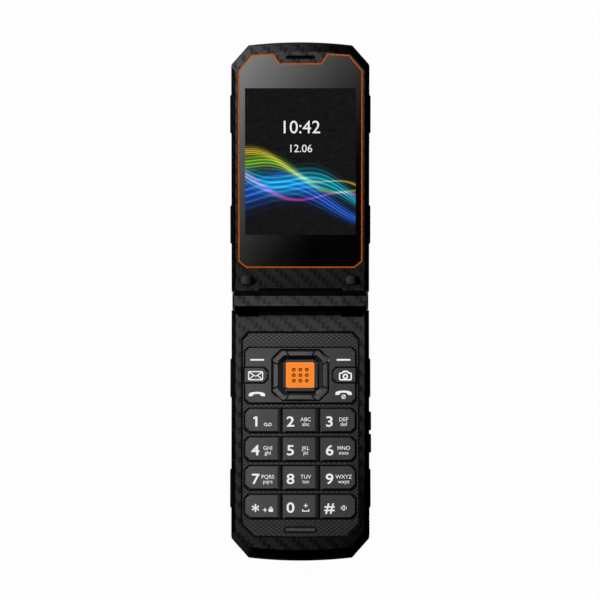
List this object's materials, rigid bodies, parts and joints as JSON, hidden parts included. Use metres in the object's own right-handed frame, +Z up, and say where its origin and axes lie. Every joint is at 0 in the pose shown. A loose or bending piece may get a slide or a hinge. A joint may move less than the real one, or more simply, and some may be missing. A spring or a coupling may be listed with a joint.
{
  "type": "mobile phone",
  "caption": "Rugged folding mobile phone, open on a barrel hinge, with a framed display in the lid and a keypad with a ring-shaped navigation key below it.",
  "frame": {"origin": "middle of the lower half's flat back face, on the table plane", "axes": "+X across the phone to its volume keys, +Y along it from the keypad to the lid, +Z up out of the keypad"},
  "size_m": [0.0551, 0.2, 0.0399],
  "materials": {
    "housing": "woven carbon look, satin lacquer",
    "panel": "fine diamond knurl, satin",
    "keys": "moulded, satin",
    "ring": "moulded, satin",
    "centre_key": "orange, satin gloss",
    "trim": "orange, satin gloss",
    "window": "clear, polished",
    "display": "display panel in a metal frame",
    "rubber": "matt",
    "black_plastic": "matt black",
    "mesh": "fine black mesh",
    "silicone": "milky silicone",
    "film": "amber film",
    "board": "green lacquer",
    "battery_can": "wrapped can",
    "steel": "plain",
    "lens": "clear, polished",
    "bezel": "turned"
  },
  "bodies": {
    "base": {"base_front_frame": "housing", "base_rear_shell": "housing", "battery": "battery_can", "sim_socket": "black_plastic", "battery_contacts": "black_plastic", "main_board": "board", "dome_sheet": "film", "keypad_membrane": "silicone", "keypad_panel": "panel", "microphone_grille": "black_plastic", "charging_socket": "steel", "loudspeaker": "black_plastic", "vibration_motor": "steel", "side_switches": "black_plastic", "base_side_grips": "rubber", "base_screws": "steel", "hinge_cartridge": "steel", "hinge_spring": "steel", "hinge_flex": "film"},
    "lid": {"lid_front_frame": "housing", "lid_outer_cover": "housing", "window_trim": "trim", "display_window": "window", "display_module": "display", "display_flex": "film", "earpiece": "black_plastic", "earpiece_mesh": "mesh", "closing_bumpers": "rubber", "lid_screws": "steel", "lid_side_grips": "rubber", "camera_board": "board", "camera_module": "black_plastic", "camera_bezel": "bezel", "camera_window": "lens", "flash_lamp": "lens", "hinge_cam": "steel", "hinge_pin": "steel", "hinge_end_caps": "black_plastic"},
    "battery_door": {"battery_door": "housing"},
    "key_1": {"key_1": "keys"},
    "key_2": {"key_2": "keys"},
    "key_3": {"key_3": "keys"},
    "key_4": {"key_4": "keys"},
    "key_5": {"key_5": "keys"},
    "key_6": {"key_6": "keys"},
    "key_7": {"key_7": "keys"},
    "key_8": {"key_8": "keys"},
    "key_9": {"key_9": "keys"},
    "key_star": {"key_star": "keys"},
    "key_0": {"key_0": "keys"},
    "key_hash": {"key_hash": "keys"},
    "message_key": {"message_key": "keys"},
    "camera_key": {"camera_key": "keys"},
    "centre_key": {"centre_key": "centre_key"},
    "left_rocker": {"left_rocker": "keys"},
    "right_rocker": {"right_rocker": "keys"},
    "navigation_pad": {"navigation_pad": "ring"},
    "navigation_ring": {"navigation_ring": "ring"},
    "volume_up_key": {"volume_up_key": "black_plastic"},
    "volume_down_key": {"volume_down_key": "black_plastic"}
  },
  "joints": [
    {"name": "lid_hinge", "type": "hinge", "parent": "base", "child": "lid", "pos_m": [0, 0.0505, 0.0133], "axis": [1, 0, 0], "range_deg": [0, 164]},
    {"name": "battery_door_slide", "type": "slide", "parent": "base", "child": "battery_door", "axis": [0, -1, 0], "range_m": [0, 0.09]},
    {"name": "key_1_press", "type": "slide", "parent": "base", "child": "key_1", "axis": [0, 0, -1], "range_m": [0, 0.0003], "stiffness_N_per_m": 300},
    {"name": "key_2_press", "type": "slide", "parent": "base", "child": "key_2", "axis": [0, 0, -1], "range_m": [0, 0.0003], "stiffness_N_per_m": 300},
    {"name": "key_3_press", "type": "slide", "parent": "base", "child": "key_3", "axis": [0, 0, -1], "range_m": [0, 0.0003], "stiffness_N_per_m": 300},
    {"name": "key_4_press", "type": "slide", "parent": "base", "child": "key_4", "axis": [0, 0, -1], "range_m": [0, 0.0003], "stiffness_N_per_m": 300},
    {"name": "key_5_press", "type": "slide", "parent": "base", "child": "key_5", "axis": [0, 0, -1], "range_m": [0, 0.0003], "stiffness_N_per_m": 300},
    {"name": "key_6_press", "type": "slide", "parent": "base", "child": "key_6", "axis": [0, 0, -1], "range_m": [0, 0.0003], "stiffness_N_per_m": 300},
    {"name": "key_7_press", "type": "slide", "parent": "base", "child": "key_7", "axis": [0, 0, -1], "range_m": [0, 0.0003], "stiffness_N_per_m": 300},
    {"name": "key_8_press", "type": "slide", "parent": "base", "child": "key_8", "axis": [0, 0, -1], "range_m": [0, 0.0003], "stiffness_N_per_m": 300},
    {"name": "key_9_press", "type": "slide", "parent": "base", "child": "key_9", "axis": [0, 0, -1], "range_m": [0, 0.0003], "stiffness_N_per_m": 300},
    {"name": "key_star_press", "type": "slide", "parent": "base", "child": "key_star", "axis": [0, 0, -1], "range_m": [0, 0.0003], "stiffness_N_per_m": 300},
    {"name": "key_0_press", "type": "slide", "parent": "base", "child": "key_0", "axis": [0, 0, -1], "range_m": [0, 0.0003], "stiffness_N_per_m": 300},
    {"name": "key_hash_press", "type": "slide", "parent": "base", "child": "key_hash", "axis": [0, 0, -1], "range_m": [0, 0.0003], "stiffness_N_per_m": 300},
    {"name": "message_key_press", "type": "slide", "parent": "base", "child": "message_key", "axis": [0, 0, -1], "range_m": [0, 0.0003], "stiffness_N_per_m": 300},
    {"name": "camera_key_press", "type": "slide", "parent": "base", "child": "camera_key", "axis": [0, 0, -1], "range_m": [0, 0.0003], "stiffness_N_per_m": 300},
    {"name": "centre_key_press", "type": "slide", "parent": "base", "child": "centre_key", "axis": [0, 0, -1], "range_m": [0, 0.0003], "stiffness_N_per_m": 300},
    {"name": "left_rocker_rock", "type": "hinge", "parent": "base", "child": "left_rocker", "pos_m": [-0.0162, 0.0212, 0.0105], "axis": [1, 0, 0], "range_deg": [-1.4, 1.4], "stiffness_Nm_per_rad": 0.01},
    {"name": "right_rocker_rock", "type": "hinge", "parent": "base", "child": "right_rocker", "pos_m": [0.0162, 0.0212, 0.0105], "axis": [1, 0, 0], "range_deg": [-1.4, 1.4], "stiffness_Nm_per_rad": 0.01},
    {"name": "navigation_tilt_up_down", "type": "hinge", "parent": "base", "child": "navigation_pad", "pos_m": [0, 0.0212, 0.01046], "axis": [1, 0, 0], "range_deg": [-1.4, 1.4], "stiffness_Nm_per_rad": 0.01},
    {"name": "navigation_tilt_left_right", "type": "hinge", "parent": "navigation_pad", "child": "navigation_ring", "pos_m": [0, 0.0212, 0.01075], "axis": [0, 1, 0], "range_deg": [-1.4, 1.4], "stiffness_Nm_per_rad": 0.01},
    {"name": "volume_up_key_press", "type": "slide", "parent": "base", "child": "volume_up_key", "axis": [-1, 0, 0], "range_m": [0, 0.0003], "stiffness_N_per_m": 300},
    {"name": "volume_down_key_press", "type": "slide", "parent": "base", "child": "volume_down_key", "axis": [-1, 0, 0], "range_m": [0, 0.0003], "stiffness_N_per_m": 300}
  ]
}
